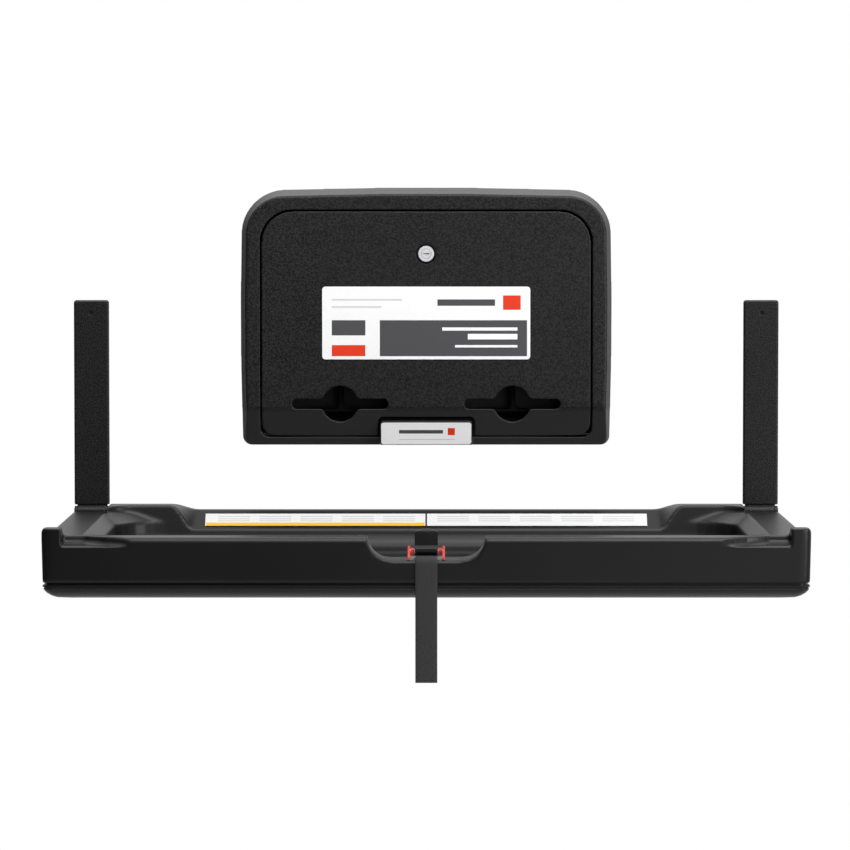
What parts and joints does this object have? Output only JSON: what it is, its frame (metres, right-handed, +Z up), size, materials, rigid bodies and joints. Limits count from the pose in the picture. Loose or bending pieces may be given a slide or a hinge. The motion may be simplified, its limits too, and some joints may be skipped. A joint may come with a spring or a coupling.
{
  "type": "baby changing station",
  "caption": "Wall-mounted fold-down baby changing tray on two hinge arms, with a safety strap and buckle, and a lockable liner dispenser above it.",
  "frame": {"origin": "middle of the dispenser's back, on the wall", "axes": "+X to the viewer's right along the wall, +Y into the wall, +Z up"},
  "size_m": [0.889, 0.5021, 0.5721],
  "materials": {
    "grained_plastic": "fine grain",
    "arm_plastic": "fine grain",
    "tray_plastic": "satin",
    "black_steel": "satin black",
    "bright_steel": "satin",
    "nylon": "satin",
    "rubber": "matt",
    "white_plate": "satin",
    "webbing": "woven",
    "red_plastic": "satin",
    "black_plastic": "satin"
  },
  "bodies": {
    "wall_side": {"wall_plate_left": "black_steel", "wall_plate_right": "black_steel", "arm_cover_left": "arm_plastic", "arm_cover_right": "arm_plastic", "cover_screw_left": "bright_steel", "cover_screw_right": "bright_steel", "hinge_knuckle_left": "black_steel", "hinge_knuckle_right": "black_steel", "hinge_bush_left": "nylon", "hinge_bush_right": "nylon", "hinge_pin_left": "bright_steel", "hinge_pin_right": "bright_steel", "dispenser_back": "black_steel", "dispenser_casing": "grained_plastic", "casing_screw_1": "bright_steel", "casing_screw_2": "bright_steel", "casing_screw_3": "bright_steel", "casing_screw_4": "bright_steel", "tab_plate": "white_plate", "lock_strike": "bright_steel", "liner_shelf": "grained_plastic", "liner_divider": "grained_plastic", "liner_post_left": "black_plastic", "liner_post_right": "black_plastic", "door_pin_left": "bright_steel", "door_pin_right": "bright_steel"},
    "door": {"door_panel": "grained_plastic", "door_plate": "white_plate", "lock_ring": "black_plastic", "lock_barrel": "bright_steel", "lock_nut": "bright_steel"},
    "lock": {"lock_plug": "bright_steel", "lock_cam": "bright_steel", "cam_screw": "bright_steel"},
    "tray": {"tray_bed": "tray_plastic", "tray_front": "tray_plastic", "tray_end_left": "tray_plastic", "tray_end_right": "tray_plastic", "tray_base": "tray_plastic", "base_screw_1": "bright_steel", "base_screw_2": "bright_steel", "base_screw_3": "bright_steel", "base_screw_4": "bright_steel", "hinge_bracket_left": "black_steel", "hinge_bracket_right": "black_steel", "cross_tube": "black_steel", "stop_bumper_left": "rubber", "stop_bumper_right": "rubber", "rear_strip_left": "white_plate", "rear_strip_right": "white_plate", "strap_anchor": "black_plastic", "strap_bar": "bright_steel", "strap_bed": "webbing", "buckle_plate": "bright_steel", "buckle_frame": "red_plastic", "buckle_axle": "bright_steel", "axle_sleeve_left": "red_plastic", "axle_sleeve_right": "red_plastic"},
    "lever": {"buckle_lever": "black_plastic"},
    "strap_end": {"strap_tail": "webbing"}
  },
  "joints": [
    {"name": "tray_fold", "type": "hinge", "parent": "wall_side", "child": "tray", "pos_m": [0, -0.015, -0.245], "axis": [-1, 0, 0], "range_deg": [0, 90]},
    {"name": "door_open", "type": "hinge", "parent": "wall_side", "child": "door", "pos_m": [0, -0.036, -0.1465], "axis": [-1, 0, 0], "range_deg": [-90, 0]},
    {"name": "lock_turn", "type": "hinge", "parent": "door", "child": "lock", "pos_m": [0, -0.06, 0.08], "axis": [0, -1, 0], "range_deg": [0, 90]},
    {"name": "lever_lift", "type": "hinge", "parent": "tray", "child": "lever", "pos_m": [0, -0.482, -0.2585], "axis": [-1, 0, 0], "range_deg": [0, 45], "stiffness_Nm_per_rad": 0.2},
    {"name": "strap_swing", "type": "hinge", "parent": "tray", "child": "strap_end", "pos_m": [0, -0.5013, -0.3151], "axis": [1, 0, 0], "range_deg": [-60, 90]}
  ]
}
